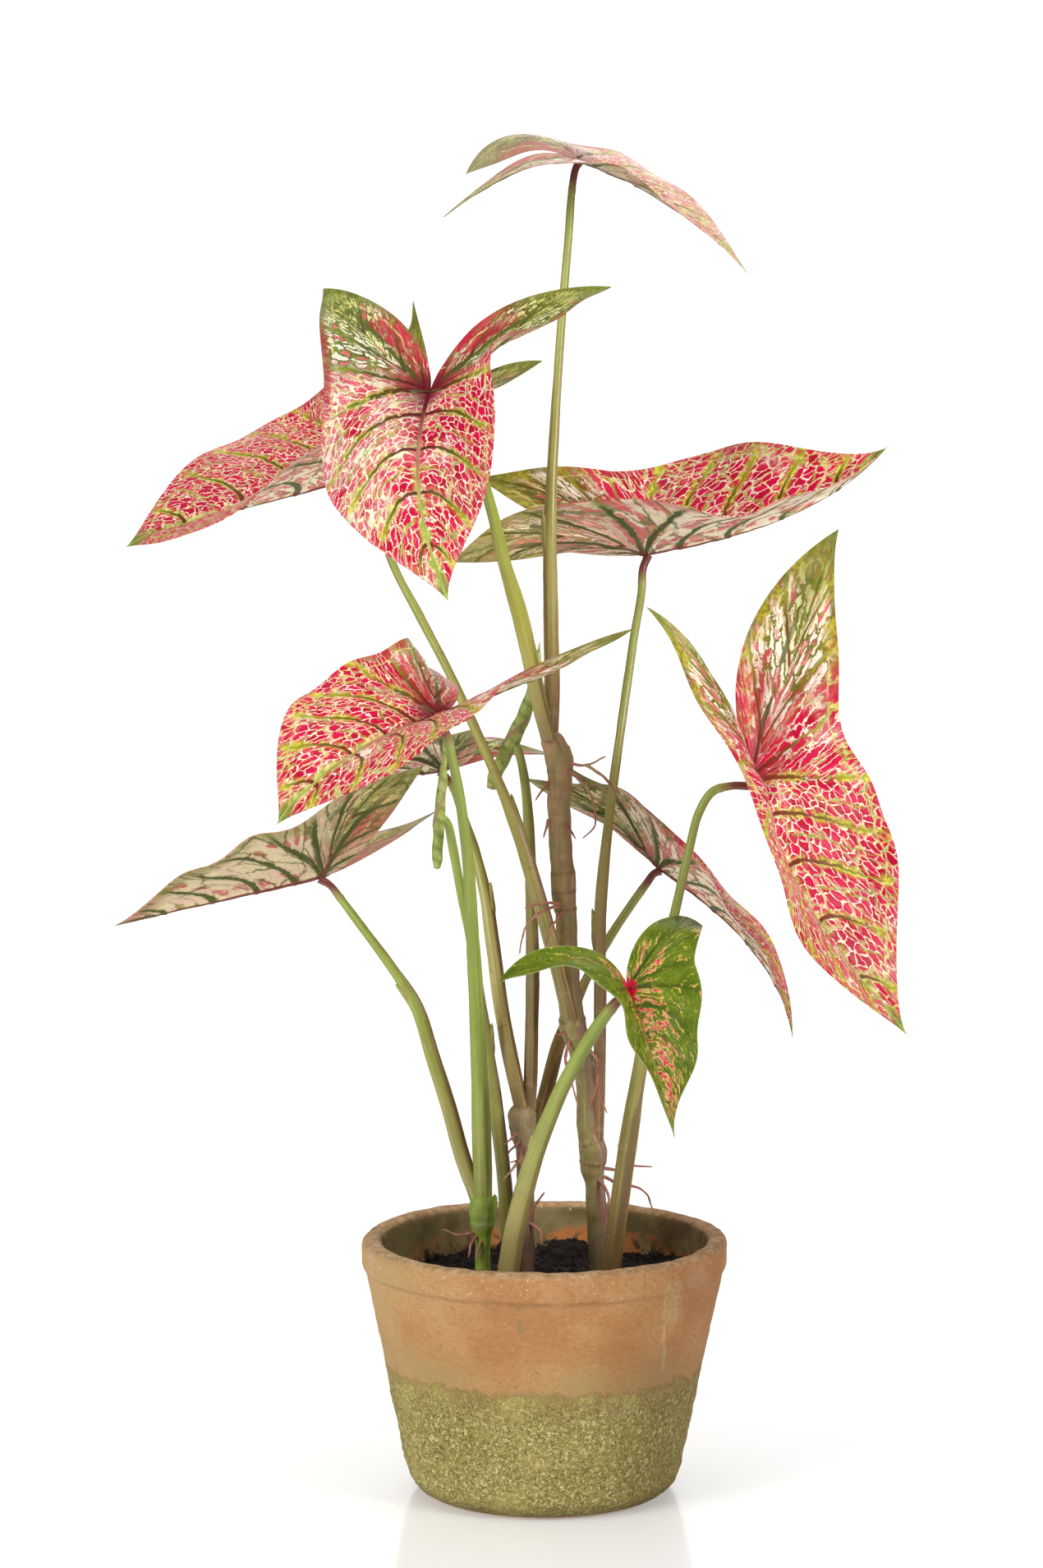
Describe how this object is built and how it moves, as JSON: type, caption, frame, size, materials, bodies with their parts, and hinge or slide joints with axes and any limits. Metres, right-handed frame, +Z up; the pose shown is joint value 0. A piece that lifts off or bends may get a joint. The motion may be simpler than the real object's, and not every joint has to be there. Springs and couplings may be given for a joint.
{
  "type": "potted caladium",
  "caption": "Young aroid house plant with red, cream and green arrow-shaped leaves on slender stalks, growing in a weathered terracotta pot.",
  "frame": {"origin": "centre of the pot's underside", "axes": "+Z up along the pot's axis, the front of the plant towards -Y, +X to its right"},
  "size_m": [0.322, 0.2045, 0.5564],
  "materials": {
    "terracotta": "matt fired clay, crusted with pale green lime and algae below",
    "potting_soil": "black crumbly potting soil",
    "cane": "brown and grey-green knuckled cane",
    "stalk": "smooth green to tan stalk",
    "leaf": "satin leaf, crimson with a cream net and green veins",
    "young_leaf": "satin green leaf flecked with pink and yellow",
    "rolled_leaf": "satin light green rolled leaf"
  },
  "bodies": {
    "root": {"pot": "terracotta", "soil": "potting_soil", "cane_a": "cane", "cane_b": "cane", "cane_c": "cane", "stalk_1": "stalk", "stalk_2": "stalk", "stalk_3": "stalk", "stalk_4": "stalk", "stalk_5": "stalk", "stalk_6": "stalk", "stalk_7": "stalk", "stalk_8": "stalk", "stalk_9": "stalk", "stalk_10": "stalk", "stalk_rolled_1": "stalk", "stalk_rolled_2": "stalk", "leaf_1": "leaf", "leaf_2": "leaf", "leaf_3": "leaf", "leaf_4": "leaf", "leaf_5": "leaf", "leaf_6": "leaf", "leaf_7": "leaf", "leaf_8": "leaf", "leaf_9": "leaf", "leaf_10": "young_leaf", "rolled_1": "rolled_leaf", "rolled_2": "rolled_leaf"}
  },
  "joints": []
}
